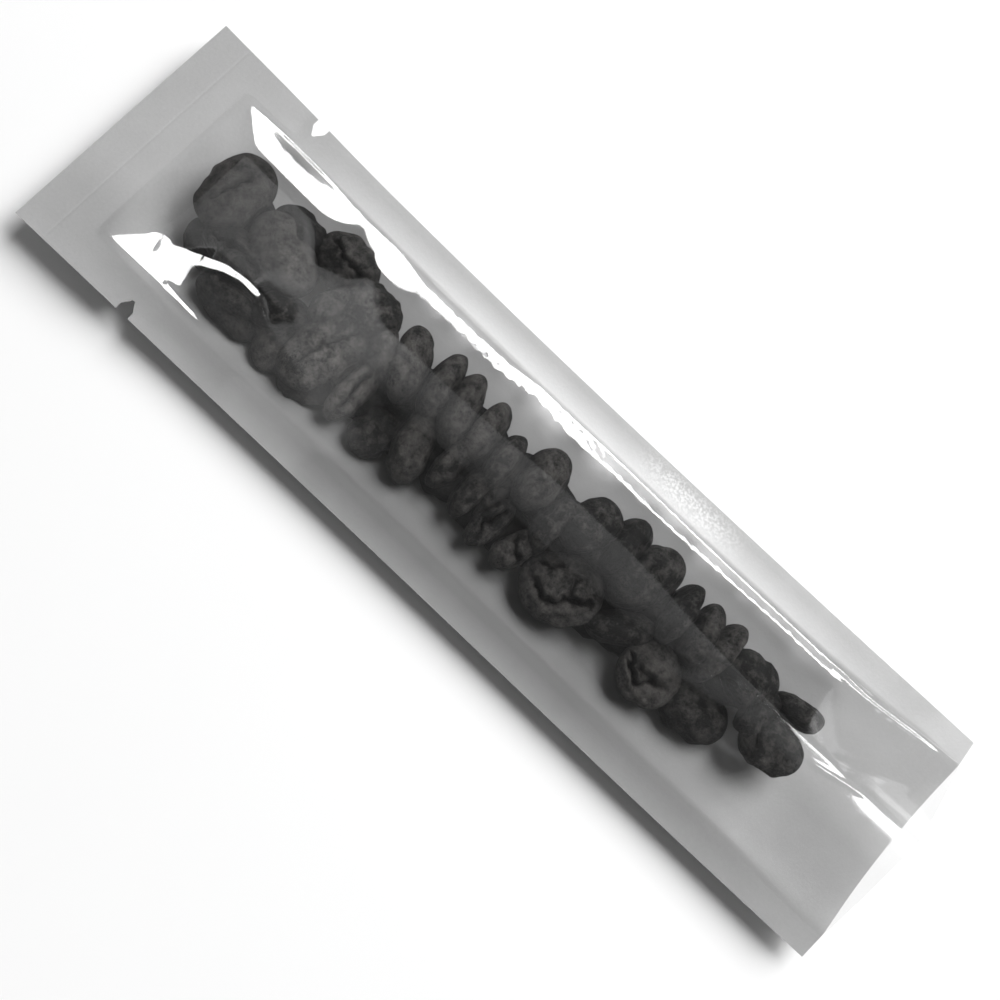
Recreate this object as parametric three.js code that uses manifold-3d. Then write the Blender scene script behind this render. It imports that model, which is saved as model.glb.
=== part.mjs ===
// A slim pouch with a clear front and a foil back, lying on its foil, part filled with roasted beans.
// Both sheets are one length and width, sealed along the two long sides and across one end.
// The other end is not sealed, and the filling holds its two sheets apart as a mouth.
//
// Millimetres. +X runs from the sealed end to the mouth, +Y across, +Z up, out of the clear front.
// The origin is under the middle of the pouch, on the surface that it lies on.

import * as THREE from 'three';
import { mergeVertices } from 'three/addons/utils/BufferGeometryUtils.js';
import Module from 'manifold-3d';

const wasm = await Module();
wasm.setup();

const { clamp, degToRad, lerp, smoothstep } = THREE.MathUtils;

// The flat pouch
const LENGTH = 130;
const WIDTH = 35;
const SHEET = 0.25; // thickness of each sheet
const WELD = 0.15; // what parts the two sheets where they are sealed
const END_SEAL = 8; // width of the seal across the closed end
const SIDE_SEAL = 4.6; // width of the two long seals
const MOUTH_SEAL = 3.5; // the same, where they have peeled a little at the mouth

// How filling it changes the outline
const WAIST_AT = 62; // from the closed end, where the long edges have come in most
const WAIST = 0.65; // how far each long edge has come in there
const MOUTH_WAIST = 0.35; // and at the mouth
const BOW = 0.48; // how far the whole pouch bends to -Y at mid length

// Heights above the surface it lies on
const SEAL_HEIGHT = 3.5; // the line where the two sheets part
const EDGE_DROP = 0.95; // how far the long edges hang below that line
const MOUTH_DROP = 0.6; // the same at the mouth
const CROWN = 3.9; // how far the clear front rises above the line
const MOUTH_CROWN = 4.1;
const BELLY = 3.9; // how far the foil would sink below it, if the surface weren't in its way
const MOUTH_BELLY = 1.5;
const CROWN_SHIFT = 0.2; // moves the crown to +Y, as a share of half the hollow
const ROUNDNESS = 2.2; // power of the curve across the hollow: 2 is a parabola
const MOUTH_ROUNDNESS = 1.2; // nearly a tent, with its ridge along the crown

// Places along the pouch, from the closed end
const FULL_FROM = 16; // the hollow is at its full height from here
const FULL_TO = 106; // to here
const DROOPED_FROM = 30; // the long edges hang from here on

// The tear notches, one in each long edge
const NOTCH_AT = 17.35;
const NOTCH_WIDTH = 1.9;
const NOTCH_DEPTH = 2.1;
const NOTCH_STRAIGHT = 0.9; // how far in its two sides stay parallel
const NOTCH_TIP = 0.35; // radius of its rounded end

// The mesh of each sheet
const STATIONS = 46;
const FLANGE_CELLS = 2;
const HOLLOW_CELLS = 14;

// The beans
const CLEARANCE = 0.25; // from a bean to either sheet
const STANDING_HEIGHT = 6.2;
const LYING_HEIGHT = 4.8;
const CREASE_DEPTH = 0.55;
const BEAN_SIDES = 10;
const BEAN_RINGS = 6;
const HEAP = { from: 15, to: 111.5, low: -8.4, high: 6.2, under: 2.2 };

// What of a bean is up: its round back, its creased face, or one of its long sides
const BACK = 0;
const FACE = 1;
const SIDE = 2;

// Each bean: from the closed end, across, length, the width that shows, its turn in degrees, what is up
const BEANS = [
  [16.8, 2.5, 10.9, 7.6, 82, FACE],
  [22.3, -2.6, 10.4, 5.4, 4, FACE],
  [26.0, 1.1, 11.2, 7.8, -24, BACK],
  [25.1, 4.7, 7.8, 5.6, 2, BACK],
  [32.2, 5.9, 9.2, 6.8, -8, FACE],
  [38.4, 3.9, 8.2, 6.4, -6, BACK],
  [34.5, 1.0, 7.6, 3.8, 70, SIDE],
  [37.7, -3.9, 12.6, 7.6, 79, FACE],
  [24.7, -7.1, 8.8, 4.0, 12, BACK],
  [25.6, -8.3, 9.8, 4.2, -4, BACK],
  [32.4, -7.3, 7.8, 5.4, -60, BACK],
  [38.6, -7.6, 8.0, 6.0, 20, BACK],
  [46.5, 2.2, 10.2, 4.8, -66, SIDE],
  [42.9, 0.6, 8.2, 3.8, -58, SIDE],
  [43.8, -5.1, 9.2, 3.8, 88, FACE],
  [48.8, -6.8, 7.0, 5.6, 90, BACK],
  [50.9, 2.8, 10.0, 3.9, -80, SIDE],
  [54.6, 2.4, 10.4, 4.4, -74, SIDE],
  [53.6, -4.9, 9.8, 5.0, -68, BACK],
  [59.0, 2.6, 9.0, 3.5, 93, SIDE],
  [58.4, -2.9, 8.4, 3.4, 90, SIDE],
  [62.8, 1.2, 8.8, 3.6, 96, SIDE],
  [62.3, -3.8, 8.0, 3.5, 90, SIDE],
  [64.9, -2.6, 8.0, 3.4, 88, SIDE],
  [67.7, 3.0, 9.2, 5.6, 92, BACK],
  [66.7, -5.2, 7.8, 3.7, 83, FACE],
  [71.1, -5.4, 7.0, 3.8, 72, FACE],
  [72.0, -0.5, 8.8, 3.7, 94, SIDE],
  [76.0, 3.1, 8.4, 6.6, 70, BACK],
  [80.8, 4.2, 8.8, 5.0, 90, BACK],
  [78.5, -5.0, 10.8, 9.2, 25, FACE],
  [85.4, 3.2, 10.4, 6.9, 70, BACK],
  [87.2, -3.4, 9.0, 4.4, 36, BACK],
  [90.9, 2.6, 9.4, 3.6, 92, SIDE],
  [95.0, 2.9, 8.8, 4.3, 98, BACK],
  [97.8, 2.7, 9.4, 3.5, 86, SIDE],
  [93.4, -5.1, 8.3, 7.8, 0, FACE],
  [103.0, 2.7, 8.0, 7.2, 8, BACK],
  [101.3, -4.6, 8.4, 6.8, 8, BACK],
  [106.8, 0.7, 6.8, 3.8, 80, SIDE],
  [110.4, 4.1, 7.0, 3.6, 8, SIDE],
  [110.6, -1.4, 9.2, 6.6, 12, FACE],
];

// ---- The form of the filled pouch. t is the distance from the closed end. ----

function drawnIn(t) {
  if (t < WAIST_AT) return WAIST * Math.sin((Math.PI / 2) * (t / WAIST_AT));
  return lerp(WAIST, MOUTH_WAIST, smoothstep(t, WAIST_AT, LENGTH));
}

function longEdge(t, side) {
  const bend = -BOW * 4 * (t / LENGTH) * (1 - t / LENGTH);
  return side * (WIDTH / 2 - drawnIn(t)) + bend;
}

function sealLine(t, side) {
  const width = lerp(SIDE_SEAL, MOUTH_SEAL, smoothstep(t, FULL_TO, LENGTH));
  return longEdge(t, side) - side * width;
}

// From 0 at the end seal to 1 where the hollow is at its full height
function swelling(t) {
  const rise = clamp((t - END_SEAL) / (FULL_FROM - END_SEAL), 0, 1);
  return Math.sin((Math.PI / 2) * rise);
}

// From -1 on one seal line to 1 on the other
function acrossHollow(t, y) {
  const low = sealLine(t, -1);
  const high = sealLine(t, 1);
  return (2 * y - low - high) / (high - low);
}

function arch(share, power) {
  return 1 - Math.min(1, Math.abs(share)) ** power;
}

// Height of the plane in which the sheets are sealed, its long edges hanging a little
function weldHeight(t, y) {
  const beyond = Math.abs(acrossHollow(t, y)) - 1;
  if (beyond <= 0) return SEAL_HEIGHT;
  const side = Math.sign(acrossHollow(t, y));
  const share = (y - sealLine(t, side)) / (longEdge(t, side) - sealLine(t, side));
  const drop = lerp(EDGE_DROP, MOUTH_DROP, smoothstep(t, FULL_TO, LENGTH));
  return SEAL_HEIGHT - share * drop * smoothstep(t, END_SEAL, DROOPED_FROM);
}

function frontUnderside(t, y) {
  const atMouth = smoothstep(t, FULL_TO, LENGTH);
  const share = clamp(acrossHollow(t, y), -1, 1);
  const shifted = share - CROWN_SHIFT * (1 - share * share);
  const crown = swelling(t) * lerp(CROWN, MOUTH_CROWN, atMouth);
  return weldHeight(t, y) + WELD / 2 + crown * arch(shifted, lerp(ROUNDNESS, MOUTH_ROUNDNESS, atMouth));
}

function backTop(t, y) {
  const belly = swelling(t) * lerp(BELLY, MOUTH_BELLY, smoothstep(t, FULL_TO, LENGTH));
  return Math.max(SHEET, weldHeight(t, y) - WELD / 2 - belly * arch(acrossHollow(t, y), ROUNDNESS));
}

// ---- Solids ----

// The y values of one station's points, from the -Y edge to the +Y edge
function columns(t) {
  const marks = [
    [longEdge(t, -1), sealLine(t, -1), FLANGE_CELLS],
    [sealLine(t, -1), sealLine(t, 1), HOLLOW_CELLS],
    [sealLine(t, 1), longEdge(t, 1), FLANGE_CELLS],
  ];
  const list = [longEdge(t, -1)];
  for (const [from, to, cells] of marks) {
    for (let i = 1; i <= cells; i += 1) list.push(lerp(from, to, i / cells));
  }
  return list;
}

// A closed skin between two height functions over the pouch's own grid, both faces split alike
function slab(upper, lower) {
  const positions = [];
  const index = [];
  const row = 2 * FLANGE_CELLS + HOLLOW_CELLS + 1;
  const layer = row * (STATIONS + 1);
  for (const height of [upper, lower]) {
    for (let i = 0; i <= STATIONS; i += 1) {
      const t = (LENGTH * i) / STATIONS;
      for (const y of columns(t)) positions.push(t - LENGTH / 2, y, height(t, y));
    }
  }
  const quad = (a, b, c, d) => index.push(a, b, c, a, c, d);
  for (let i = 0; i < STATIONS; i += 1) {
    for (let j = 0; j < row - 1; j += 1) {
      const a = i * row + j;
      quad(a, a + row, a + row + 1, a + 1);
      quad(a + layer, a + 1 + layer, a + row + 1 + layer, a + row + layer);
    }
  }
  for (let i = 0; i < STATIONS; i += 1) {
    const low = i * row;
    const high = low + row - 1;
    quad(low, low + layer, low + row + layer, low + row);
    quad(high, high + row, high + row + layer, high + layer);
  }
  for (let j = 0; j < row - 1; j += 1) {
    const far = STATIONS * row + j;
    quad(j, j + 1, j + 1 + layer, j + layer);
    quad(far, far + layer, far + 1 + layer, far + 1);
  }
  const geometry = new THREE.BufferGeometry();
  geometry.setAttribute('position', new THREE.Float32BufferAttribute(positions, 3));
  geometry.setIndex(index);
  return geometry;
}

function toSolid(geometry) {
  const bare = geometry.clone();
  bare.deleteAttribute('normal');
  bare.deleteAttribute('uv');
  const merged = mergeVertices(bare);
  return new wasm.Manifold(new wasm.Mesh({
    numProp: 3,
    vertProperties: new Float32Array(merged.attributes.position.array),
    triVerts: new Uint32Array(merged.index.array),
  }));
}

function toGeometry(solid) {
  const { vertProperties, triVerts } = solid.getMesh();
  const geometry = new THREE.BufferGeometry();
  geometry.setAttribute('position', new THREE.Float32BufferAttribute(vertProperties, 3));
  geometry.setIndex(Array.from(triVerts));
  geometry.computeVertexNormals();
  return geometry;
}

// What is cut from a long edge for one tear notch, tall enough to pass both sheets
function notchCutter(side) {
  const half = NOTCH_WIDTH / 2;
  const tip = NOTCH_DEPTH - NOTCH_TIP;
  const outline = new THREE.Shape();
  outline.moveTo(-half, 1);
  outline.lineTo(-half, -NOTCH_STRAIGHT);
  outline.lineTo(-NOTCH_TIP, -tip);
  outline.absarc(0, -tip, NOTCH_TIP, Math.PI, 2 * Math.PI, false);
  outline.lineTo(half, -NOTCH_STRAIGHT);
  outline.lineTo(half, 1);
  const cutter = new THREE.ExtrudeGeometry(outline, {
    depth: 2 * SEAL_HEIGHT, bevelEnabled: false, curveSegments: 4,
  });
  if (side < 0) cutter.rotateZ(Math.PI);
  cutter.translate(NOTCH_AT - LENGTH / 2, longEdge(NOTCH_AT, side), 0);
  return toSolid(cutter);
}

function sheet(upper, lower) {
  const cut = toSolid(slab(upper, lower)).subtract(notchCutter(-1)).subtract(notchCutter(1));
  return toGeometry(cut);
}

// One bean about its own middle, long along X, with a crease along its top where its face is up
function beanGeometry(length, width, height, creased) {
  const bean = new THREE.SphereGeometry(0.5, BEAN_SIDES, BEAN_RINGS);
  bean.rotateZ(Math.PI / 2);
  bean.scale(length, height, width);
  bean.rotateX(Math.PI / 2);
  if (!creased) return bean;
  const points = bean.attributes.position;
  for (let i = 0; i < points.count; i += 1) {
    const onTop = points.getZ(i) > 0 && Math.abs(points.getY(i)) < width / BEAN_SIDES / 2;
    if (onTop) points.setZ(i, points.getZ(i) - CREASE_DEPTH * (1 - (2 * points.getX(i) / length) ** 2));
  }
  return bean;
}

// Lifts a bean until it all but touches the clear front, then flattens what would reach the foil
function seat(bean) {
  const points = bean.attributes.position;
  let lift = Infinity;
  for (let i = 0; i < points.count; i += 1) {
    const room = frontUnderside(points.getX(i) + LENGTH / 2, points.getY(i)) - CLEARANCE;
    lift = Math.min(lift, room - points.getZ(i));
  }
  for (let i = 0; i < points.count; i += 1) {
    const floor = backTop(points.getX(i) + LENGTH / 2, points.getY(i)) + CLEARANCE;
    points.setZ(i, Math.max(floor, points.getZ(i) + lift));
  }
  return bean;
}

function placedBean([along, across, length, width, turn, lies]) {
  const height = lies === SIDE ? STANDING_HEIGHT : LYING_HEIGHT;
  const bean = beanGeometry(length, width, height, lies === FACE);
  bean.rotateZ(degToRad(turn));
  bean.translate(along - LENGTH / 2, across, 0);
  return toSolid(seat(bean));
}

// The bulk of the heap under the beans that show, from the foil to some way below the clear front
function heapCore() {
  const inside = (t, y) => frontUnderside(t, y) - HEAP.under;
  const rounded = new THREE.CylinderGeometry(0.5, 0.5, 2 * SEAL_HEIGHT, 24);
  rounded.rotateX(Math.PI / 2);
  rounded.scale(HEAP.to - HEAP.from, HEAP.high - HEAP.low, 1);
  rounded.translate((HEAP.from + HEAP.to - LENGTH) / 2, (HEAP.low + HEAP.high) / 2, SEAL_HEIGHT);
  const room = slab(inside, (t, y) => Math.min(inside(t, y) - SHEET, backTop(t, y) + CLEARANCE));
  return toSolid(room).intersect(toSolid(rounded));
}

function beanHeap() {
  const room = slab(
    (t, y) => Math.max(frontUnderside(t, y) - CLEARANCE / 2, weldHeight(t, y) + WELD / 8),
    (t, y) => Math.min(backTop(t, y) + CLEARANCE / 2, weldHeight(t, y) - WELD / 8),
  );
  let heap = heapCore();
  for (const row of BEANS) heap = heap.add(placedBean(row));
  return toGeometry(heap.intersect(toSolid(room)));
}

function named(name, geometry, material) {
  const mesh = new THREE.Mesh(geometry, new THREE.MeshStandardMaterial(material));
  mesh.name = name;
  return mesh;
}

const pouch = new THREE.Group();
pouch.add(named(
  'back_foil',
  sheet(backTop, (t, y) => backTop(t, y) - SHEET),
  { color: 0xb4b4b4, roughness: 0.35, metalness: 0.9 },
));
pouch.add(named(
  'front_film',
  sheet((t, y) => frontUnderside(t, y) + SHEET, frontUnderside),
  { color: 0xe8e8e8, roughness: 0.08, metalness: 0, transparent: true, opacity: 0.3 },
));
pouch.add(named('beans', beanHeap(), { color: 0x3e3834, roughness: 0.6, metalness: 0 }));

export default pouch;
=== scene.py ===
import math

import bpy
import numpy as np
from mathutils import Matrix, Vector


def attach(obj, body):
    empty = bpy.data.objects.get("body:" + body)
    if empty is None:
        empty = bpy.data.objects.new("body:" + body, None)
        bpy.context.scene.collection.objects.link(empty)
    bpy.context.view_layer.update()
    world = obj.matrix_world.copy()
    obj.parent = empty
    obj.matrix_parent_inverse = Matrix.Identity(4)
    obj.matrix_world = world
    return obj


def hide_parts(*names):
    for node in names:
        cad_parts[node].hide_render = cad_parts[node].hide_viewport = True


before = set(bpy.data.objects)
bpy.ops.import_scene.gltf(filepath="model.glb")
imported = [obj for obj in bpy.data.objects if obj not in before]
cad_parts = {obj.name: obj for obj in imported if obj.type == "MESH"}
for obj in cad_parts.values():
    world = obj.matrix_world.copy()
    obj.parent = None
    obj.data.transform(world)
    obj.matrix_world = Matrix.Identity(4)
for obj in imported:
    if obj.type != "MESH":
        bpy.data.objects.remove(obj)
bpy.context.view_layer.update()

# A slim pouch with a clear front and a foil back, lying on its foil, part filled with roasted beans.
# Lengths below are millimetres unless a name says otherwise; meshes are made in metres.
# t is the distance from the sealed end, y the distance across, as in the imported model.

MM = 0.001
SEED = 7

# The flat pouch
LENGTH = 130.0
WIDTH = 35.0
FILM = 0.09  # thickness of the clear front
FOIL = 0.12  # thickness of the foil back
WELD = 0.01  # what parts them where they are sealed
END_SEAL = 8.0
SIDE_SEAL = 4.4
MOUTH_SEAL = 3.5

# How filling it changes the outline
WAIST_AT = 62.0
WAIST = 0.65  # how far each long edge comes in
MOUTH_WAIST = 0.35
BOW = 0.48  # how far the whole pouch bends to the -Y side

# How filling it changes the heights
SEAL_HEIGHT = 3.5  # of the side seals above the floor
EDGE_DROP = 0.95  # how far the long edges hang below that
MOUTH_DROP = 0.6
CROWN = 3.95  # how far the film rises above the seals
MOUTH_CROWN = 4.15
BELLY = 3.9  # how far the foil would sink below them with no floor
MOUTH_BELLY = 1.5
ROUNDNESS = 2.2
SEAL_FILLET = 0.3  # rounds the foil where it leaves the seal
FULL_FROM = 16.0  # the belly is full past this, and less so past the next
FULL_TO = 106.0
DROOPED_FROM = 30.0  # the long edges hang fully past this

# The film runs nearly flat out of the side seals, then straight up to the beans, and is arched over
# them. Each row: place along, inset and slope of the +Y face, inset and slope of the -Y face, how far
# outside the +Y and -Y seals the arch has its feet, and how round its +Y half is.
FACES = (
    (8.0, 0.0, 0.70, 1.2, 0.78, 2.6, 2.0, 4.0),
    (17.5, 0.0, 0.70, 1.2, 0.78, 2.6, 2.0, 4.0),
    (21.0, 0.0, 0.70, 1.0, 0.50, 2.9, 1.8, 3.8),
    (25.5, 0.0, 0.70, 0.8, 0.49, 3.1, 1.6, 3.6),
    (30.2, 0.0, 0.70, 0.5, 0.48, 0.9, 1.4, 1.6),
    (34.0, 0.0, 0.70, 0.4, 0.47, 1.5, 1.3, 2.0),
    (36.5, 0.0, 0.70, 0.3, 0.47, 3.3, 1.2, 3.2),
    (41.0, 0.8, 0.70, 0.0, 0.47, -0.2, 0.8, 1.65),
    (55.0, 0.7, 0.72, 0.0, 0.47, -0.2, 0.4, 1.65),
    (60.0, 0.1, 0.77, 0.0, 0.47, 0.3, 0.3, 1.7),
    (68.0, 0.1, 0.79, 0.0, 0.47, 0.8, 0.3, 1.9),
    (75.0, 0.2, 0.90, 0.0, 0.47, 0.9, 0.3, 1.9),
    (92.0, 0.5, 0.92, 0.0, 0.47, 1.2, 0.3, 1.9),
    (100.0, 0.5, 0.92, 0.0, 0.47, 2.3, 0.3, 1.9),
    (111.0, 0.6, 0.90, 0.0, 0.47, 3.0, 0.3, 1.9),
    (116.0, 1.0, 0.80, 0.0, 0.50, 0.3, 0.5, 1.9),
    (130.0, 0.2, 0.74, 0.0, 0.50, 0.3, 0.5, 1.9),
)
INSET_SLOPE = 0.12  # of the film between a seal and the face that starts inside it
END_SLOPE = 0.56  # of the face that rises from the end seal
CORNER = 0.25  # how softly two faces meet
# Where the arch is highest: place along and across
CREST = (
    (10.0, 0.0),
    (24.0, 1.1),
    (38.0, 2.2),
    (84.0, 2.2),
    (110.0, 1.7),
    (118.0, 1.7),
    (128.0, 2.2),
)
ARCH_ROUNDNESS = 1.9  # of its -Y half
BOXED_ROUNDNESS = 4.0  # near the sealed end that half is nearly flat
BOXED_UNTIL = (10.0, 38.0)
TENT_FROM = (78.0, 107.0)  # towards the mouth the arch sharpens into the ridge of a tent
RIDGE_ROUNDNESS = (1.09, 1.2)  # behind the mouth, and in it
IN_MOUTH_FROM = (117.0, 123.0)
DETAIL_FROM = (0.1, 0.5)  # dents and creases fade where the film is lower than this above the seals

# Small bulges of the film: along, across, reach along, reach across, height
DENTS = (
    (19.0, 12.4, 4.4, 1.2, 0.22),
    (14.8, -9.0, 0.6, 1.2, -0.07),
)

# Creases of the film: height, reach to the +Y side and to the -Y side, and the points they run through
CREASES = (
    (0.30, 2.40, 0.45, (
        (16.0, -7.6), (19.0, -6.9), (21.0, -5.9), (23.0, -5.0), (25.5, -4.5), (28.5, -4.4), (33.5, -4.6))),
    (0.12, 1.10, 0.40, ((25.5, -4.4), (28.5, -5.0), (32.0, -6.6))),
    (0.14, 0.30, 0.30, ((18.0, -11.2), (21.0, -11.3), (25.5, -11.6))),
    (0.16, 0.45, 0.45, ((108.0, 11.2), (114.0, 11.2), (119.0, 11.7), (123.0, 12.3), (129.5, 13.4))),
    (0.05, 0.30, 0.30, ((113.5, 0.0), (116.0, 0.4), (119.0, 1.0), (123.0, 1.8))),
    (0.04, 0.45, 0.45, (
        (113.0, 2.0), (116.5, 2.4), (119.5, 3.6), (123.0, 5.3), (125.4, 6.6), (125.6, 7.8), (122.0, 9.3))),
)
CREASE_ENDS = (0.2, 0.75)  # a crease fades before the first share of its points and past the second
KNURL_AT = 4.4  # a row of dents pressed into the end seal
KNURL_REACH = 0.16
KNURL_PITCH = 0.9
KNURL_DEPTH = 0.03
KNURL_EVEN = 0.6  # the share of its depth about which the dents vary
RUFFLE = 0.013  # fine unevenness of the +Y face
RUFFLE_SIZE = 1.3
RUFFLED_ACROSS_FROM = (7.5, 10.0)
RUFFLED_FROM = (40.0, 60.0)
LEAST_RUFFLED = 0.25  # the share of it that is left before that

# Painted light and shade on the foil, and a patch of painted glints on its +Y margin: middle and reach
# along, middle and reach across, how much, and how pale it is there. Rows: a painted pool of light in the
# +Y hollow, a painted shadow beside the beans on the -Y side, and painted shade at the -Y side of the mouth
PAINTED_LIGHT_AND_SHADE_ZONES = (
    (66.0, 62.0, 10.0, 5.5, 0.90, 0.92),
    (66.0, 76.0, -12.0, 7.5, 0.85, 0.22),
    (124.0, 16.0, -6.0, 8.0, 0.60, 0.33),
)
PAINTED_GLINT_PATCH = (83.0, 10.0, 14.0, 2.6, 1.0, 0.92)

# The tear notches
NOTCH_AT = 17.35
NOTCH_WIDTH = 1.9
NOTCH_DEPTH = 2.1
NOTCH_STRAIGHT = 0.9
NOTCH_TIP = 0.35

# The camera of the photograph
EYE = (0.3, -27.6, 141.7)
AIM = (0.7, -2.2, 3.5)
UP = (-0.6891, 0.7131, 0.1291)
FOCAL_SHARE = 1.15  # focal length over the width of the picture

# Beans: along, across, length, width that shows, turn in degrees, how it lies, how far it lies under
# the clear front.
BACK, FACE, SIDE = range(3)
BEANS = [
    (16.8, 2.5, 10.9, 7.6, 82, FACE, 0.0),
    (22.3, -2.6, 10.4, 5.4, 4, FACE, 0.8),
    (26.0, 1.1, 11.2, 7.8, -24, BACK, 0.0),
    (25.1, 4.7, 7.8, 5.6, 2, BACK, 0.6),
    (32.2, 5.9, 9.2, 6.8, -8, FACE, 0.2),
    (38.4, 3.9, 8.2, 6.4, -6, BACK, 0.3),
    (34.5, 1.0, 7.6, 3.8, 70, SIDE, 0.8),
    (37.7, -3.9, 12.6, 7.6, 79, FACE, 0.0),
    (24.7, -7.1, 8.8, 4.0, 12, BACK, 0.0),
    (25.6, -8.3, 9.8, 4.2, -4, BACK, 1.0),
    (32.4, -7.3, 7.8, 5.4, -60, BACK, 0.8),
    (38.6, -7.6, 8.0, 6.0, 20, BACK, 1.6),
    (46.5, 2.2, 10.2, 4.8, -66, SIDE, 0.2),
    (42.9, 0.6, 8.2, 3.8, -58, SIDE, 0.9),
    (43.8, -5.1, 9.2, 3.8, 88, FACE, 0.4),
    (48.8, -6.8, 7.0, 5.6, 90, BACK, 0.8),
    (50.9, 2.8, 10.0, 3.9, -80, SIDE, 0.0),
    (54.6, 2.4, 10.4, 4.4, -74, SIDE, 0.2),
    (53.6, -4.9, 9.8, 5.0, -68, BACK, 0.0),
    (59.0, 2.6, 9.0, 3.5, 93, SIDE, 0.2),
    (58.4, -2.9, 8.4, 3.4, 90, SIDE, 0.3),
    (62.8, 1.2, 8.8, 3.6, 96, SIDE, 0.4),
    (62.3, -3.8, 8.0, 3.5, 90, SIDE, 0.5),
    (64.9, -2.6, 8.0, 3.4, 88, SIDE, 1.5),
    (67.7, 3.0, 9.2, 5.6, 92, BACK, 0.0),
    (66.7, -5.2, 7.8, 3.7, 83, FACE, 0.2),
    (71.1, -5.4, 7.0, 3.8, 72, FACE, 0.3),
    (72.0, -0.5, 8.8, 3.7, 94, SIDE, 0.3),
    (76.0, 3.1, 8.4, 6.6, 70, BACK, 0.1),
    (80.8, 4.2, 8.8, 5.0, 90, BACK, 0.4),
    (78.5, -5.0, 10.8, 9.2, 25, FACE, 0.0),
    (85.4, 3.2, 10.4, 6.9, 70, BACK, 0.0),
    (87.2, -3.4, 9.0, 4.4, 36, BACK, 0.2),
    (90.9, 2.6, 9.4, 3.6, 92, SIDE, 0.3),
    (95.0, 2.9, 8.8, 4.3, 98, BACK, 0.0),
    (97.8, 2.7, 9.4, 3.5, 86, SIDE, 0.3),
    (93.4, -5.1, 8.3, 7.8, 0, FACE, 0.0),
    (103.0, 2.7, 8.0, 7.2, 8, BACK, 0.0),
    (100.9, -4.6, 9.4, 6.8, 8, BACK, 0.3),
    (106.8, 0.7, 6.8, 3.8, 80, SIDE, 1.0),
    (110.4, 4.1, 7.0, 3.6, 8, SIDE, 0.3),
    (110.2, -1.3, 8.6, 6.4, 12, FACE, 0.0),
    (30.4, -4.3, 7.6, 5.2, 30, BACK, 0.9),
]
# Creases and cracks that show in those beans: depth, half width, and the points they run through
CRACKS = (
    (0.7, 0.26, ((17.5, 5.4), (17.1, 3.6), (16.3, 1.4), (15.4, -1.2))),
    (0.7, 0.24, ((17.8, -3.5), (20.5, -3.1), (22.5, -2.3), (25.0, -2.6), (27.3, -3.0))),
    (0.5, 0.24, ((28.6, 7.0), (30.0, 6.6), (32.0, 5.8), (34.2, 5.8), (36.3, 6.4))),
    (0.8, 0.28, ((40.2, 1.6), (38.5, -1.5), (37.3, -4.0), (36.6, -7.0), (36.4, -9.4))),
    (0.6, 0.22, ((43.9, -1.2), (43.6, -3.6), (44.0, -6.2), (43.8, -9.0))),
    (0.7, 0.22, ((67.1, -2.0), (67.1, -3.5), (66.5, -4.8), (66.3, -6.2), (66.5, -8.4))),
    (0.4, 0.16, ((66.5, -4.8), (65.6, -5.6))),
    (0.6, 0.20, ((70.4, -3.0), (70.5, -5.0), (71.5, -5.8), (72.3, -6.2), (72.2, -8.0))),
    (0.8, 0.26, (
        (73.9, -6.2), (75.8, -6.8), (77.7, -7.8), (79.2, -6.5), (80.0, -5.5), (82.3, -4.1), (83.4, -3.8))),
    (0.5, 0.20, ((79.0, -2.4), (79.4, -4.1), (79.9, -5.5))),
    (0.5, 0.18, ((82.1, -1.5), (82.3, -2.8), (82.2, -4.0))),
    (0.4, 0.16, ((77.0, -2.6), (76.0, -4.0), (74.4, -4.6))),
    (0.9, 0.24, (
        (89.3, -4.8), (90.5, -5.2), (91.0, -6.3), (92.0, -6.7), (92.7, -7.5), (93.1, -6.6), (94.5, -5.8),
        (97.3, -4.8))),
    (0.6, 0.40, ((90.8, -5.4), (93.0, -5.8), (95.0, -5.3))),
    (0.5, 0.20, ((90.4, -2.5), (90.7, -3.7), (90.5, -4.9))),
    (0.5, 0.22, ((108.3, 1.2), (107.7, -0.4), (107.8, -2.0), (108.7, -3.4))),
)
CRACKED_WITHIN = 1.2  # a crack is cut where its middle is at least this far inside the ends of a bean
CRACK_WIDTH = 1.2  # the half widths are times this
# Painted shade in the cracks: how much darker their insides are painted
CRACK_PAINTED_SHADE = 0.8
CRACKED_FROM = (0.45, 0.7)  # shares of the height of a bean between which its cracks start
RAGGED = 0.13  # how far the cracks stray from those points
RAGGED_SIZE = 1.5
LIP = 0.35  # height of a crack's lips over its depth
LIP_REACH = (3.0, 1.6)  # the lips are left between these reaches, over the half width of the crack

# The beans under those: one every so far along, in two files, where no foil shows between the others
UNDER_FROM, UNDER_TO, UNDER_STEP = 18.5, 109.0, 4.6
UNDER_FILES = (1.6, -3.8)
UNDER_STRAY = (1.0, 0.5)  # along and across
UNDER_SIZES = ((7.6, 8.8), (5.4, 6.2), (-40, 40))  # lengths, widths and turns
UNDER_DROP = 2.3
UNDER_DROP_MORE = 0.6
FOIL_SHOWS = ((32.0, -0.2), (42.7, 3.9), (105.0, -2.0))
FOIL_CLEAR = 4.4

# The form of a bean
STANDING_HEIGHT = 6.2
LYING_HEIGHT = 4.8
FLAT_SHARE = 0.38  # of its thickness, on the side with the crease
BLUNT = (2.2, 2.8)  # how blunt its ends are
LUMPY, WRINKLED = 0.035, 0.028  # how far its lumps and wrinkles stand out, over its radius
LUMP_SIZE, WRINKLE_SIZE = 1.5, 0.36
LUMPS_ALONG, WRINKLES_ALONG = 1.6, 0.7  # how crowded they are along it
FLAT_EDGE = 0.8  # how sharply the flat side turns into the domed one
SKEW = 0.06
ROLL_ON_SIDE, ROLL_LYING, TILT = 14, 8, 5  # degrees at most
BEAN_GAP = 0.08  # from a bean to either sheet
SEATING_ROUNDS = 12
SEATING_MARGIN = 1.05

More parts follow.
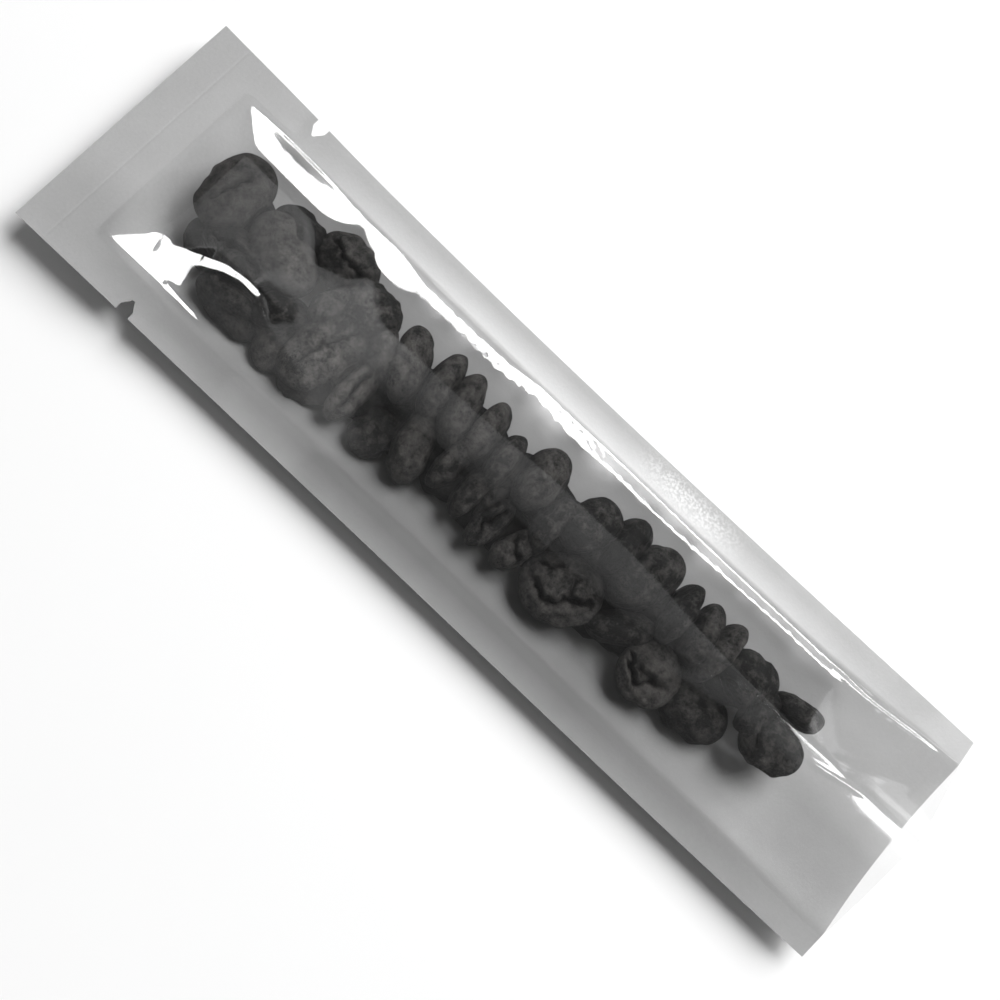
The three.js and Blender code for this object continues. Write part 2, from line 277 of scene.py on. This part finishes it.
# Painted shade: beans are painted darker the further they lie under the clear front, where shade falls
# between and below them
PAINTED_SHADE_DEPTH = 2.2  # how far under the clear front the beans turn dark
# A painted pool of light on the beans: place along and across, reach along and across. Away from it the
# painted light falls to these shares, at the sealed end and past it, changing between the places given next
PAINTED_LIGHT_SPOT = (37.0, -2.5, 7.0, 6.0)
PAINTED_LIGHT_AWAY = (0.22, 0.37)
PAINTED_LIGHT_CHANGES = (20.0, 32.0)

FLOOR_REACH = 3000
WORLD = (0.10, 0.10, 0.10)
# Studio lamps: name, place, what it faces, size, radiance, whether glossy surfaces mirror it, whether
# it lights what is matt
LAMPS = (
    ("sky", (330, 880, 790), (0, 0, 0), (1050, 850), 10.5, False, True),
    ("ceiling", (0, 195, 800), (0, 195, 0), (1800, 330), 0.42, True, False),
    ("ceiling_edge_a", (0, 0, 800), (0, 0, 0), (1800, 60), 0.34, True, False),
    ("ceiling_edge_b", (0, -60, 800), (0, -60, 0), (1800, 60), 0.25, True, False),
    ("ceiling_edge_c", (0, -120, 800), (0, -120, 0), (1800, 60), 0.17, True, False),
    ("ceiling_end", (365, -200, 799), (365, -200, 0), (200, 90), 0.35, True, False),
    ("haze_edge", (-295, -330, 799), (-295, -330, 0), (310, 1380), 0.10, True, False),
    ("haze_mid", (-235, -330, 797), (-235, -330, 0), (190, 1380), 0.13, True, False),
    ("haze", (-185, -200, 795), (-185, -200, 0), (90, 1000), 0.42, True, False),
    ("window", (0, 900, 80), (0, 0, 0), (1400, 150), 14.0, True, False),
    ("low_window", (-70, -900, 350), (-20, -8, 5), (780, 640), 14.0, True, False),
    ("glint_mouth", (388, -112, 790), (388, -112, 0), (197, 78), 14.0, True, False),
    ("loop", (475, 715, 790), (475, 715, 0), (130, 96), 2.0, True, False),
    ("wall", (520, 640, 792), (520, 640, 0), (180, 560), 1.2, True, False),
)


# ---- Small tools ----

def smoothstep(x, low, high):
    share = np.clip((x - low) / (high - low), 0.0, 1.0)
    return share * share * (3 - 2 * share)


def lerp(a, b, share):
    return a + (b - a) * share


def near(t, y, along, across, reach_along, reach_across):
    """1 at a place, falling off smoothly round it."""
    return np.exp(-((t - along) / reach_along) ** 2 - ((y - across) / reach_across) ** 2)


class Waves:
    """Smooth repeatable noise over two coordinates, about -1 to 1, features of roughly `size`."""

    def __init__(self, seed, size, count=14):
        rng = np.random.default_rng(seed)
        heading = rng.uniform(0, 2 * np.pi, count)
        pitch = 2 * np.pi / (size * rng.uniform(0.6, 1.6, count))
        self.fx, self.fy = pitch * np.cos(heading), pitch * np.sin(heading)
        self.phase = rng.uniform(0, 2 * np.pi, count)
        self.scale = math.sqrt(2 / count)

    def __call__(self, x, y):
        total = sum(np.sin(x * a + y * b + c) for a, b, c in zip(self.fx, self.fy, self.phase))
        return total * self.scale


def new_piece(name, vertices, faces, material, smooth=True):
    mesh = bpy.data.meshes.new(name)
    mesh.from_pydata((np.asarray(vertices) * MM).tolist(), [], [tuple(f) for f in faces])
    mesh.polygons.foreach_set("use_smooth", [smooth] * len(mesh.polygons))
    mesh.materials.append(material)
    mesh.update()
    piece = bpy.data.objects.new(name, mesh)
    bpy.context.scene.collection.objects.link(piece)
    return piece


# ---- The form of the filled pouch ----

def drawn_in(t):
    towards = WAIST * np.sin(np.pi / 2 * np.minimum(t / WAIST_AT, 1))
    return np.where(t < WAIST_AT, towards, lerp(WAIST, MOUTH_WAIST, smoothstep(t, WAIST_AT, LENGTH)))


def long_edge(t, side):
    return side * (WIDTH / 2 - drawn_in(t)) - BOW * 4 * (t / LENGTH) * (1 - t / LENGTH)


def seal_line(t, side):
    return long_edge(t, side) - side * lerp(SIDE_SEAL, MOUTH_SEAL, smoothstep(t, FULL_TO, LENGTH))


def swelling(t):
    """How full the belly is behind the end seal, 0 to 1."""
    return np.sin(np.pi / 2 * np.clip((t - END_SEAL) / (FULL_FROM - END_SEAL), 0, 1))


def across_hollow(t, y):
    low, high = seal_line(t, -1), seal_line(t, 1)
    return (2 * y - low - high) / (high - low)


def arch(share, power):
    return 1 - np.minimum(1, np.abs(share)) ** power


def filleted(height, full):
    """A height that eases in from 0 and still reaches `full`."""
    eased = np.sqrt(height ** 2 + SEAL_FILLET ** 2) - SEAL_FILLET
    return eased * full / (math.sqrt(full ** 2 + SEAL_FILLET ** 2) - SEAL_FILLET)


def knurl(t, y):
    row = np.exp(-((t - KNURL_AT) / KNURL_REACH) ** 2)
    return KNURL_DEPTH * row * (KNURL_EVEN + (1 - KNURL_EVEN) * np.sin(2 * np.pi * y / KNURL_PITCH))


def weld_height(t, y):
    """Top of the foil where it is sealed, and between the seals the height that they would have."""
    side = np.where(across_hollow(t, y) < 0, -1, 1)
    line = seal_line(t, side)
    share = np.maximum((y - line) / (long_edge(t, side) - line), 0)
    drop = lerp(EDGE_DROP, MOUTH_DROP, smoothstep(t, FULL_TO, LENGTH))
    return SEAL_HEIGHT - share * drop * smoothstep(t, END_SEAL, DROOPED_FROM) - knurl(t, y)


def soft_min(a, b, width):
    """The lower of two heights, with the corner between them rounded over `width`."""
    return (a + b - np.sqrt((a - b) ** 2 + width ** 2)) / 2


def straight_face(inward, inset, slope):
    """Height of a face that starts `inset` from its seal, with the film nearly flat before it."""
    flat = INSET_SLOPE * inward
    return -soft_min(-flat, -(slope * (inward - inset) + INSET_SLOPE * inset), CORNER)


def crease(t, y, height, reach_plus, reach_minus, points):
    """What a crease adds to a height, highest along its points and faded at both ends."""
    nearest = np.full(np.shape(t), 1e9)
    fade = np.zeros(np.shape(t))
    reach = np.full(np.shape(t), reach_plus)
    steps = len(points) - 1
    for k, ((t0, y0), (t1, y1)) in enumerate(zip(points, points[1:])):
        share = ((t - t0) * (t1 - t0) + (y - y0) * (y1 - y0)) / ((t1 - t0) ** 2 + (y1 - y0) ** 2)
        share = np.clip(share, 0, 1)
        away = (t - lerp(t0, t1, share)) ** 2 + (y - lerp(y0, y1, share)) ** 2
        closer = away < nearest
        nearest = np.where(closer, away, nearest)
        fade = np.where(closer, (k + share) / steps, fade)
        plus_side = (t1 - t0) * (y - y0) > (y1 - y0) * (t - t0)
        reach = np.where(closer, np.where(plus_side, reach_plus, reach_minus), reach)
    ends = smoothstep(fade, 0, CREASE_ENDS[0]) * (1 - smoothstep(fade, CREASE_ENDS[1], 1))
    return height * ends * np.exp(-nearest / reach ** 2)


RUFFLES = Waves(11, RUFFLE_SIZE)


def film_height(t, y):
    """Underside of the clear front."""
    places, *columns = zip(*FACES)
    plus_inset, plus_slope, minus_inset, minus_slope, plus_foot, minus_foot, plus_round = (
        np.interp(t, places, column) for column in columns)
    low, high = seal_line(t, -1), seal_line(t, 1)
    boxed = 1 - smoothstep(t, *BOXED_UNTIL)
    tent = smoothstep(t, *TENT_FROM)
    crest = np.interp(t, *zip(*CREST))
    off_plus = (y - crest) / (high + plus_foot - crest)
    off_minus = (crest - y) / (crest - low + minus_foot)
    off = np.where(y > crest, off_plus, off_minus)
    power = np.where(y > crest, plus_round, lerp(ARCH_ROUNDNESS, BOXED_ROUNDNESS, boxed))
    power = lerp(power, lerp(*RIDGE_ROUNDNESS, smoothstep(t, *IN_MOUTH_FROM)), tent)
    crown = lerp(CROWN, MOUTH_CROWN, smoothstep(t, FULL_TO, LENGTH))
    rise = crown * arch(off, power)
    rise = soft_min(rise, straight_face(high - y, plus_inset, plus_slope), CORNER)
    rise = soft_min(rise, straight_face(y - low, minus_inset, minus_slope), CORNER)
    rise = soft_min(rise, END_SLOPE * (t - END_SEAL), CORNER)
    detail = sum(dent * near(t, y, *row) for *row, dent in DENTS)
    detail = detail + sum(crease(t, y, *row) for row in CREASES)
    ruffled = lerp(LEAST_RUFFLED, 1, smoothstep(t, *RUFFLED_FROM))
    detail = detail + RUFFLE * RUFFLES(t, y) * smoothstep(y, *RUFFLED_ACROSS_FROM) * ruffled
    rise = rise + detail * smoothstep(rise, *DETAIL_FROM)
    return weld_height(t, y) + WELD + np.maximum(rise, 0)


def back_top(t, y):
    """Top of the foil back."""
    belly = swelling(t) * lerp(BELLY, MOUTH_BELLY, smoothstep(t, FULL_TO, LENGTH))
    sunk = belly * arch(across_hollow(t, y), ROUNDNESS)
    return np.maximum(FOIL, weld_height(t, y) - filleted(sunk, BELLY))


def notch(t):
    """How deep a tear notch cuts in from a long edge."""
    off = np.abs(t - NOTCH_AT)
    half = NOTCH_WIDTH / 2
    taper = lerp(NOTCH_DEPTH - NOTCH_TIP, NOTCH_STRAIGHT, (off - NOTCH_TIP) / (half - NOTCH_TIP))
    tip = NOTCH_DEPTH - NOTCH_TIP + np.sqrt(np.maximum(NOTCH_TIP ** 2 - off ** 2, 0))
    return np.where(off > half, 0, np.where(off > NOTCH_TIP, taper, tip))


# ---- Sheets ----

STATION_STEP = 0.4
FLANGE_CELLS = 14
RIM_ANGLE = math.radians(60)  # edges sharper than this aren't smoothed over
# Cells across the hollow, finest where the film mirrors bright lines: share of the half width reached
# and the cells up to it
FILM_CELLS = ((-1.0, 0), (-0.30, 36), (0.0, 10), (0.22, 18), (0.62, 12), (1.0, 34))
FOIL_CELLS = ((-1.0, 0), (1.0, 60))


def stations():
    even = np.linspace(0, LENGTH, int(LENGTH / STATION_STEP) + 1)
    half = NOTCH_WIDTH / 2
    wall = [NOTCH_AT + side * (half + step) for side in (-1, 1) for step in (-0.01, 0.01)]
    tip = NOTCH_AT + np.linspace(-NOTCH_TIP, NOTCH_TIP, 7)
    pressed = KNURL_AT + np.linspace(-3 * KNURL_REACH, 3 * KNURL_REACH, 13)
    return np.unique(np.concatenate([even, wall, tip, pressed]))


def sheet_grid(cells):
    """Places along and across of a sheet's grid, rows along and columns from the -Y edge to the +Y one."""
    t = stations()
    low, high = seal_line(t, -1), seal_line(t, 1)
    shares = [np.array([-1.0])]
    for (start, _), (end, count) in zip(cells, cells[1:]):
        shares.append(np.linspace(start, end, count + 1)[1:])
    flange = np.arange(FLANGE_CELLS) / FLANGE_CELLS
    columns = [lerp(long_edge(t, -1) + notch(t), low, share) for share in flange]
    columns += [lerp(low, high, (share + 1) / 2) for share in np.concatenate(shares)]
    columns += [lerp(long_edge(t, 1) - notch(t), high, share) for share in flange[::-1]]
    y = np.stack(columns, axis=1)
    return np.repeat(t[:, None], y.shape[1], axis=1), y


def shell(name, t, y, upper, lower, material):
    """A closed sheet between two heights on one grid."""
    rows, row = t.shape
    layer = rows * row
    points = [np.stack([t - LENGTH / 2, y, z], axis=-1).reshape(-1, 3) for z in (upper, lower)]
    i, j = np.meshgrid(np.arange(rows - 1), np.arange(row - 1), indexing="ij")
    a = (i * row + j).ravel()
    top = np.stack([a, a + row, a + row + 1, a + 1], axis=1)
    under = np.stack([a, a + 1, a + row + 1, a + row], axis=1) + layer
    low = np.arange(rows - 1) * row
    high = low + row - 1
    start = np.arange(row - 1)
    end = start + (rows - 1) * row
    rim = [
        np.stack([low, low + layer, low + row + layer, low + row], axis=1),
        np.stack([high, high + row, high + row + layer, high + layer], axis=1),
        np.stack([start, start + 1, start + 1 + layer, start + layer], axis=1),
        np.stack([end, end + layer, end + 1 + layer, end + 1], axis=1),
    ]
    piece = new_piece(name, np.concatenate(points), np.concatenate([top, under] + rim), material)
    piece.data.set_sharp_from_angle(angle=RIM_ANGLE)
    return piece


def build_film(material):
    t, y = sheet_grid(FILM_CELLS)
    under = film_height(t, y)
    return shell("clear_front", t, y, under + FILM, under, material)


def build_foil(material):
    t, y = sheet_grid(FOIL_CELLS)
    top = back_top(t, y)
    return shell("foil_back", t, y, top, top - FOIL, material)


# ---- Beans ----

def bean_grid(along, around, crowding):
    """A grid round a bean; `crowding` draws its lines together on the side that shows."""
    u = -np.cos(np.pi * np.arange(1, along) / along)
    angle = 2 * np.pi * np.arange(around) / around
    angle = angle - crowding * np.cos(angle)
    u, angle = np.meshgrid(u, angle, indexing="ij")
    rows, row = u.shape
    i, j = np.meshgrid(np.arange(rows - 1), np.arange(row), indexing="ij")
    a, b = (i * row + j).ravel(), (i * row + (j + 1) % row).ravel()
    faces = np.stack([a, b, b + row, a + row], axis=1).tolist()
    first, last = rows * row, rows * row + 1
    for k in range(row):
        faces.append((first, (k + 1) % row, k))
        faces.append((last, (rows - 1) * row + k, (rows - 1) * row + (k + 1) % row))
    return u, angle, faces


# Lines along and round a bean, and how far they crowd to the side that shows
GRIDS = {"cracked": (66, 60, -0.45), "plain": (38, 34, 0.0), "under": (18, 16, 0.0)}


def bean_shape(rng, length, width, thick, grid):
    """Points of one bean about its middle, long along X, its flat face up."""
    u, angle, faces = bean_grid(*GRIDS[grid])
    lump = Waves(int(rng.integers(1e6)), LUMP_SIZE)
    wrinkle = Waves(int(rng.integers(1e6)), WRINKLE_SIZE)
    girth = (1 - np.abs(u) ** rng.uniform(*BLUNT)) ** 0.5
    across, up = np.cos(angle), np.sin(angle)
    lumps = LUMPY * lump(u * LUMPS_ALONG, across)
    swell = 1 + lumps + WRINKLED * wrinkle(u * WRINKLES_ALONG, across + 0.6 * up)
    skew = rng.uniform(-SKEW, SKEW)
    x = length / 2 * (u + skew * (1 - u * u) * across)
    y = width / 2 * girth * across * swell * (1 + skew * u)
    flat = FLAT_SHARE * thick * np.abs(up) ** FLAT_EDGE
    domed = (1 - FLAT_SHARE) * thick * np.abs(up)
    z = np.where(up > 0, flat, -domed) * girth * swell
    points = np.stack([x, y, z], axis=-1).reshape(-1, 3)
    points = np.concatenate([points, [[-length / 2, 0, 0], [length / 2, 0, 0]]])
    points[:, 2] -= (points[:, 2].max() + points[:, 2].min()) / 2
    return points, faces


RAGS = Waves(21, RAGGED_SIZE), Waves(22, RAGGED_SIZE)


def cracked(points, along, across, length):
    """Cuts the creases and cracks that run over a bean into the side of it that shows.

    Gives how deep in a crack each of its points is, 0 to 1.
    """
    inside = np.zeros(len(points))
    t, y = points[:, 0] + LENGTH / 2, points[:, 1]
    t, y = t + RAGGED * RAGS[0](t, y), y + RAGGED * RAGS[1](t, y)
    top, low = points[:, 2].max(), points[:, 2].min()
    shows = smoothstep((points[:, 2] - low) / (top - low), *CRACKED_FROM)
    for depth, half, line in CRACKS:
        middle = np.mean(line, axis=0)
        if math.dist(middle, (along, across)) < length / 2 - CRACKED_WITHIN:
            half = CRACK_WIDTH * half
            outer, inner, cut = (
                crease(t, y, 1.0, reach * half, reach * half, line) for reach in (*LIP_REACH, 1))
            points[:, 2] += depth * shows * (LIP * (outer - inner) - cut)
            inside = np.maximum(inside, cut * shows)
    return inside


def turned(points, roll, tilt, turn):
    spin = Matrix.Rotation(math.radians(turn), 3, "Z") @ Matrix.Rotation(math.radians(tilt), 3, "Y")
    spin = spin @ Matrix.Rotation(math.radians(roll), 3, "X")
    return points @ np.array(spin).T


def seated(points, drop):
    """Lifts a bean to the clear front, less its drop, and flattens it where it wouldn't fit."""
    t, y = points[:, 0] + LENGTH / 2, points[:, 1]
    ceiling = film_height(t, y) - BEAN_GAP - drop
    floor = back_top(t, y) + BEAN_GAP
    for _ in range(SEATING_ROUNDS):
        points[:, 2] += np.min(ceiling - points[:, 2])
        sunk = np.max(floor - points[:, 2])
        if sunk <= 0:
            break
        top, low = points[:, 2].max(), points[:, 2].min()
        points[:, 2] = top - (top - points[:, 2]) * (1 - SEATING_MARGIN * sunk / (top - low))
    return points


def laid_bean(rng, along, across, length, width, turn, lies, drop):
    """Points and faces of a bean in its place, and its painted light and shade at each point."""
    grid = "cracked" if lies == FACE else "under" if drop >= UNDER_DROP else "plain"
    if lies == SIDE:
        points, faces = bean_shape(rng, length, STANDING_HEIGHT, width, grid)
        roll = 90 * rng.choice([-1, 1]) + rng.uniform(-ROLL_ON_SIDE, ROLL_ON_SIDE)
    else:
        points, faces = bean_shape(rng, length, width, LYING_HEIGHT, grid)
        roll = (180 if lies == BACK else 0) + rng.uniform(-ROLL_LYING, ROLL_LYING)
    points = turned(points, roll, rng.uniform(-TILT, TILT), turn)
    points[:, 0] += along - LENGTH / 2
    points[:, 1] += across
    points = seated(points, drop)
    inside = cracked(points, along, across, length) if grid == "cracked" else np.zeros(len(points))
    t, y = points[:, 0] + LENGTH / 2, points[:, 1]
    under = np.maximum(film_height(t, y) - points[:, 2], 0)
    painted_light_and_shade = lerp(lerp(*PAINTED_LIGHT_AWAY, smoothstep(t, *PAINTED_LIGHT_CHANGES)), 1, near(t, y, *PAINTED_LIGHT_SPOT))
    return points, faces, np.exp(-(under / PAINTED_SHADE_DEPTH) ** 2) * (1 - CRACK_PAINTED_SHADE * inside) * painted_light_and_shade


def under_beans():
    rng = np.random.default_rng(SEED + 1)
    rows = []
    for along in np.arange(UNDER_FROM, UNDER_TO, UNDER_STEP):
        for file in UNDER_FILES:
            place = [at + rng.uniform(-stray, stray) for at, stray in zip((along, file), UNDER_STRAY)]
            size = [rng.uniform(*ends) for ends in UNDER_SIZES]
            if min(math.dist(place, gap) for gap in FOIL_SHOWS) > FOIL_CLEAR:
                rows.append((*place, *size, BACK, UNDER_DROP + rng.uniform(0, UNDER_DROP_MORE)))
    return rows


def build_beans(material):
    rng = np.random.default_rng(SEED)
    vertices, faces, tones, lit, count = [], [], [], [], 0
    for row in BEANS + under_beans():
        points, quads, shade = laid_bean(rng, *row)
        lit.append(shade)
        vertices.append(points)
        faces += [tuple(k + count for k in quad) for quad in quads]
        tones += [rng.uniform(0, 1)] * len(points)
        count += len(points)
    piece = new_piece("bean_heap", np.concatenate(vertices), faces, material)
    for name, values in (("tone", tones), ("lit", np.concatenate(lit))):
        piece.data.attributes.new(name, "FLOAT", "POINT").data.foreach_set("value", values)
    return piece


# ---- Materials ----

class Recipe:
    """A material's node tree, with short ways to add and join nodes."""

    def __init__(self, name):
        self.material = bpy.data.materials.new(name)
        self.material.use_nodes = True
        self.tree = self.material.node_tree
        self.shader = self.tree.nodes["Principled BSDF"]
        self.output = self.tree.nodes["Material Output"]

    def add(self, kind, **values):
        node = self.tree.nodes.new("ShaderNode" + kind)
        for key, value in values.items():
            setattr(node, key, value)
        return node

    def join(self, source, target):
        self.tree.links.new(source, target)

    def place(self):
        return self.add("TexCoord").outputs["Object"]

    def near(self, axis, at, reach):
        """1 where a coordinate is at a place, falling to 0 at a distance of `reach` mm."""
        node = self.add("SeparateXYZ")
        self.join(self.place(), node.inputs["Vector"])
        away = self.math("ABSOLUTE", self.math("SUBTRACT", node.outputs[axis], at * MM), 0.0)
        return self.ramp(away, 0.3 * reach * MM, reach * MM, 1.0, 0.0)

    def zone(self, along, reach_along, across, reach_across, share):
        """`share` in the middle of a field of the given reaches, falling to 0 at its edges."""
        near_along = self.near("X", along - LENGTH / 2, reach_along)
        both = self.math("MULTIPLY", near_along, self.near("Y", across, reach_across))
        return self.math("MULTIPLY", both, share)

    def noise(self, scale, detail=4.0, rough=0.55):
        node = self.add("TexNoise")
        node.inputs["Scale"].default_value = scale
        node.inputs["Detail"].default_value = detail
        node.inputs["Roughness"].default_value = rough
        self.join(self.place(), node.inputs["Vector"])
        return node.outputs["Fac"]

    def ramp(self, source, low, high, to_low, to_high):
        node = self.add("MapRange")
        for key, value in zip(("From Min", "From Max", "To Min", "To Max"), (low, high, to_low, to_high)):
            node.inputs[key].default_value = value
        self.join(source, node.inputs["Value"])
        return node.outputs["Result"]

    def math(self, operation, a, b):
        node = self.add("Math", operation=operation)
        for socket, value in zip(node.inputs, (a, b)):
            if isinstance(value, (int, float)):
                socket.default_value = value
            else:
                self.join(value, socket)
        return node.outputs["Value"]

    def blend(self, share, low, high):
        node = self.add("Mix", data_type="RGBA")
        for socket, value in zip(node.inputs[6:8], (low, high)):
            if isinstance(value, tuple):
                socket.default_value = (*value, 1)
            else:
                self.join(value, socket)
        self.join(share, node.inputs[0])
        return node.outputs[2]

    def bump(self, height, distance, strength=1.0):
        node = self.add("Bump")
        node.inputs["Distance"].default_value = distance
        node.inputs["Strength"].default_value = strength
        self.join(height, node.inputs["Height"])
        self.join(node.outputs["Normal"], self.shader.inputs["Normal"])


FILM_TINT = (0.95, 0.95, 0.95)
FILM_CLEAR = (0.97, 0.97, 0.97)
FILM_MIRRORS = (0.045, 0.5)  # the share of light that a face mirrors, seen straight on and edge on
FOIL_TINTS = (0.50, 0.50, 0.50), (0.57, 0.57, 0.57)
# The dark tint shows where shade is painted in the cracks and deep in the heap; the pale one is reached
# under painted light
BEAN_TINTS = (0.0035, 0.0033, 0.0031), (0.550, 0.521, 0.492)  # in the cracks, and the palest spots
FLOOR_TINTS = (0.88, 0.88, 0.88), (0.91, 0.91, 0.91)


def film_material():
    """Clear glossy film: what is behind it shows, and its two faces each mirror a few percent."""
    recipe = Recipe("clear_film")
    recipe.shader.inputs["Base Color"].default_value = (*FILM_TINT, 1)
    recipe.shader.inputs["Metallic"].default_value = 1.0
    recipe.join(recipe.ramp(recipe.noise(300), 0.3, 0.7, 0.05, 0.11), recipe.shader.inputs["Roughness"])
    facing = recipe.add("LayerWeight")
    facing.inputs["Blend"].default_value = 0.5
    grazing = recipe.math("POWER", facing.outputs["Facing"], 5.0)
    share = recipe.ramp(grazing, 0.0, 1.0, *FILM_MIRRORS)
    clear = recipe.add("BsdfTransparent")
    clear.inputs["Color"].default_value = (*FILM_CLEAR, 1)
    mix = recipe.add("MixShader")
    recipe.join(share, mix.inputs[0])
    recipe.join(clear.outputs[0], mix.inputs[1])
    recipe.join(recipe.shader.outputs[0], mix.inputs[2])
    recipe.join(mix.outputs[0], recipe.output.inputs["Surface"])
    return recipe.material


def foil_material():
    recipe = Recipe("metallised_foil")
    grain = recipe.ramp(recipe.noise(2600, detail=8, rough=0.8), 0.35, 0.65, -0.35, 0.35)
    tint = recipe.blend(recipe.math("ADD", recipe.noise(180), grain), *FOIL_TINTS)
    # Painted light and shade on the foil: a paler pool in the +Y hollow, and painted shadow on the -Y side
    # and at the mouth
    for *zone, painted_light_and_shade in PAINTED_LIGHT_AND_SHADE_ZONES:
        tint = recipe.blend(recipe.zone(*zone), tint, (painted_light_and_shade,) * 3)
    # Painted glints: a textured patch of the +Y margin is painted paler in specks where it would glitter
    *zone, painted_light_and_shade = PAINTED_GLINT_PATCH
    painted_sparkle = recipe.ramp(recipe.noise(3000, detail=3), 0.42, 0.60, 0.1, 1.0)
    painted_glints = recipe.math("MULTIPLY", painted_sparkle, recipe.zone(*zone))
    recipe.join(recipe.blend(painted_glints, tint, (painted_light_and_shade,) * 3), recipe.shader.inputs["Base Color"])
    recipe.shader.inputs["Metallic"].default_value = 0.25
    recipe.join(recipe.ramp(recipe.noise(400), 0.3, 0.7, 0.45, 0.55), recipe.shader.inputs["Roughness"])
    recipe.bump(recipe.noise(2500), 0.00002)
    return recipe.material


def bean_material():
    recipe = Recipe("dark_roast")
    tone = recipe.add("Attribute", attribute_name="tone").outputs["Fac"]
    # lit carries painted shade under the clear front and in the cracks, and painted light on the palest
    # beans
    lit = recipe.add("Attribute", attribute_name="lit").outputs["Fac"]
    patch = recipe.math("ADD", recipe.math("MULTIPLY", tone, 0.3), recipe.noise(700))
    patch = recipe.math("ADD", patch, recipe.math("MULTIPLY", recipe.noise(2600, detail=6, rough=0.8), 0.7))
    patch = recipe.math("MULTIPLY", recipe.ramp(patch, 0.86, 1.24, 0.03, 1.0), lit)
    recipe.join(recipe.blend(patch, *BEAN_TINTS), recipe.shader.inputs["Base Color"])
    recipe.join(recipe.ramp(recipe.noise(600), 0.3, 0.7, 0.45, 0.62), recipe.shader.inputs["Roughness"])
    recipe.shader.inputs["Specular IOR Level"].default_value = 0.25
    recipe.bump(recipe.noise(700, detail=10, rough=0.8), 0.004)
    return recipe.material


def floor_material():
    recipe = Recipe("pale_floor")
    recipe.join(recipe.blend(recipe.noise(12), *FLOOR_TINTS), recipe.shader.inputs["Base Color"])
    recipe.shader.inputs["Roughness"].default_value = 0.7
    return recipe.material


# ---- Stage ----

def look_along(obj, eye, aim, up=(0, 0, 1)):
    eye, aim = Vector(eye) * MM, Vector(aim) * MM
    forward = (aim - eye).normalized()
    right = forward.cross(Vector(up)).normalized()
    above = right.cross(forward)
    turn = Matrix((right, above, -forward)).transposed()
    obj.matrix_world = Matrix.Translation(eye) @ turn.to_4x4()


def add_camera():
    data = bpy.data.cameras.new("camera")
    data.sensor_width = 36.0
    data.lens = data.sensor_width * FOCAL_SHARE
    data.clip_start = 0.005
    camera = bpy.data.objects.new("camera", data)
    bpy.context.scene.collection.objects.link(camera)
    look_along(camera, EYE, AIM, UP)
    bpy.context.scene.camera = camera


def add_light(name, place, aim, size, radiance, mirrored, lights):
    """A flat lamp of the given size in mm that looks equally bright from wherever it is seen."""
    data = bpy.data.lights.new(name, "AREA")
    data.shape = "RECTANGLE"
    data.size, data.size_y = size[0] * MM, size[1] * MM
    data.energy = radiance * math.pi * data.size * data.size_y
    lamp = bpy.data.objects.new(name, data)
    bpy.context.scene.collection.objects.link(lamp)
    lamp.visible_camera = False
    lamp.visible_glossy = mirrored
    lamp.visible_diffuse = lights
    look_along(lamp, place, aim, (0, 1, 0.001) if abs(place[2]) > abs(place[1]) else (0, 0, 1))


def add_stage():
    side = FLOOR_REACH
    corners = [(-side, -side, 0), (side, -side, 0), (side, side, 0), (-side, side, 0)]
    floor = new_piece("floor", corners, [(0, 1, 2, 3)], floor_material(), smooth=False)
    world = bpy.data.worlds.new("world")
    bpy.context.scene.world = world
    world.use_nodes = True
    world.node_tree.nodes["Background"].inputs["Color"].default_value = (*WORLD, 1)
    bpy.context.scene.view_settings.view_transform = "Standard"
    for row in LAMPS:
        add_light(*row)


add_camera()
add_stage()
film = build_film(film_material())
foil = build_foil(foil_material())
beans = build_beans(bean_material())
for piece, node, slot in (
    (film, "front_film", "clear_film"),
    (foil, "back_foil", "foil"),
    (beans, "beans", "roasted_beans"),
):
    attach(piece, "root")
    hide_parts(node)
